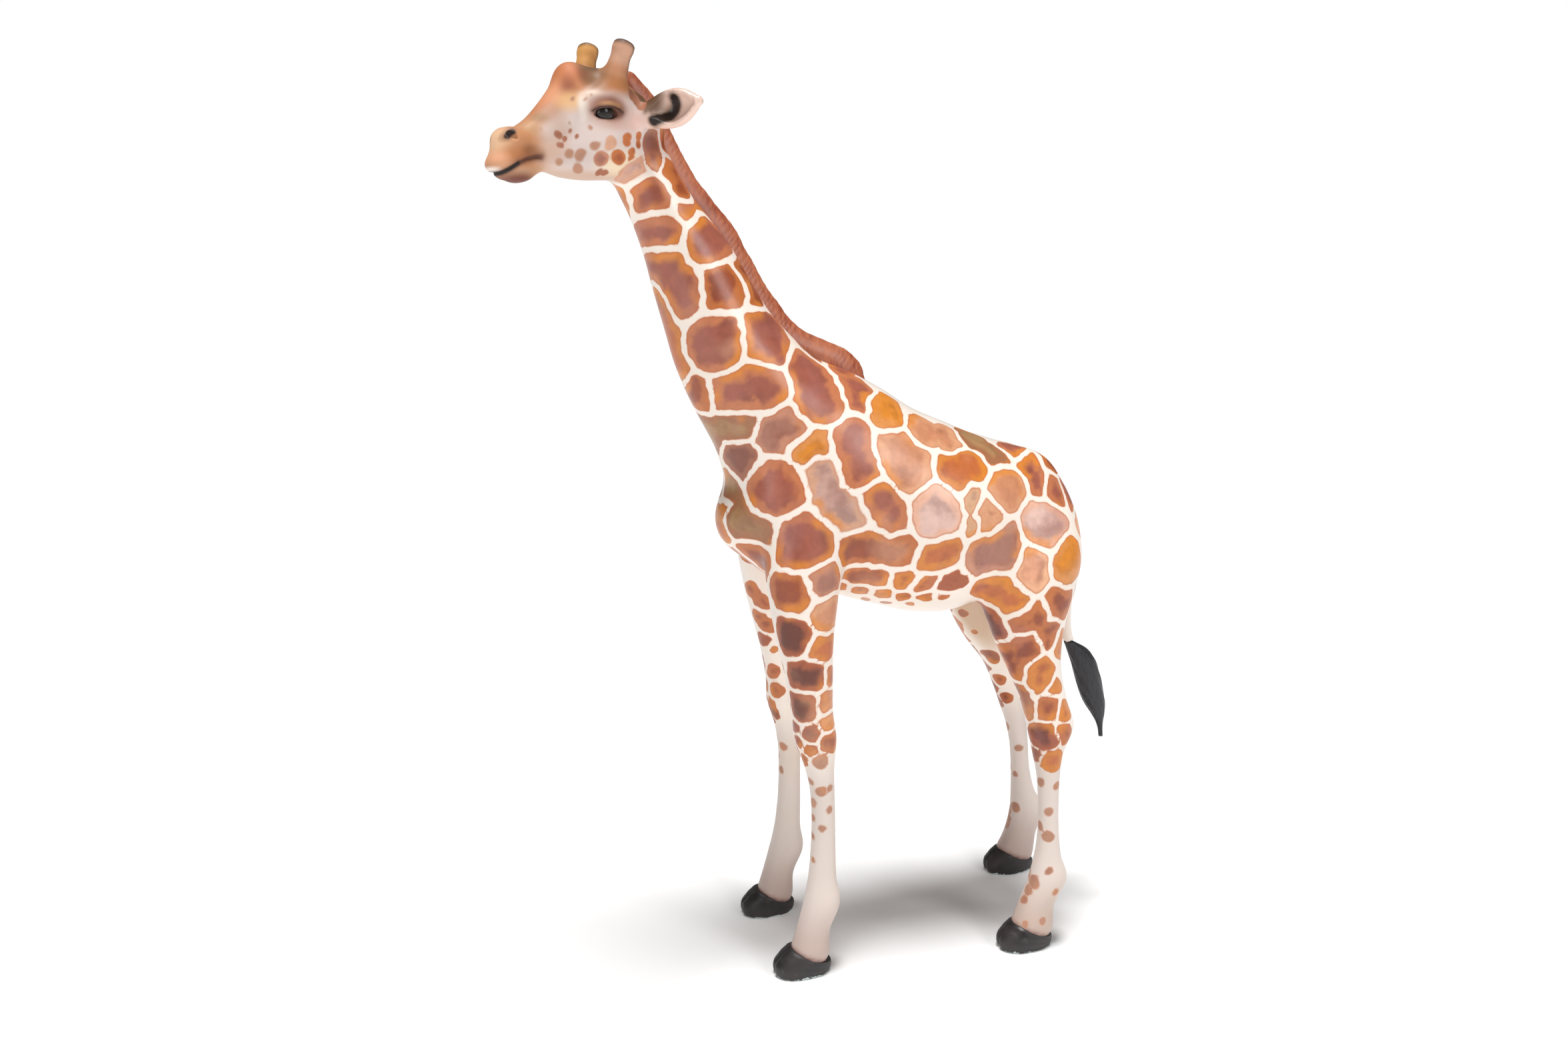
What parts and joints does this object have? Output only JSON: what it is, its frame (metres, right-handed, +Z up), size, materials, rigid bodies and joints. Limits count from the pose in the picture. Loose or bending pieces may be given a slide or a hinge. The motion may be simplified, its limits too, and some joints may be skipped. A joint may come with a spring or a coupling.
{
  "type": "reticulated giraffe statue",
  "caption": "Painted glass-fibre statue of a young reticulated giraffe standing with its head turned: net-patterned brown coat, short horns, low mane, dark hooves and tail tuft.",
  "frame": {"origin": "on the ground under the middle of the figure's bounding box", "axes": "+Z up; the figure faces -X; its left side, to which the head turns, is -Y"},
  "size_m": [1.4431, 0.4485, 1.9928],
  "materials": {
    "coat": "satin paint on glass fibre: reddish-brown patches with orange rims on a cream net",
    "face": "satin paint, tan muzzle and brow, cream cheeks with brown spots",
    "crest": "satin reddish-brown paint",
    "dock": "satin cream paint",
    "hoof": "satin dark grey paint, chipped at the lower edge",
    "tuft": "satin black paint",
    "eye": "glossy dark paint"
  },
  "bodies": {
    "root": {"trunk": "coat", "neck": "coat", "leg_front_left": "coat", "leg_front_right": "coat", "leg_hind_left": "coat", "leg_hind_right": "coat", "head": "face", "ear_left": "face", "ear_right": "face", "ossicone_left": "face", "ossicone_right": "face", "mane": "crest", "tail_dock": "dock", "tail_tuft": "tuft", "hoof_front_left": "hoof", "hoof_front_right": "hoof", "hoof_hind_left": "hoof", "hoof_hind_right": "hoof", "eye_left": "eye", "eye_right": "eye"}
  },
  "joints": []
}
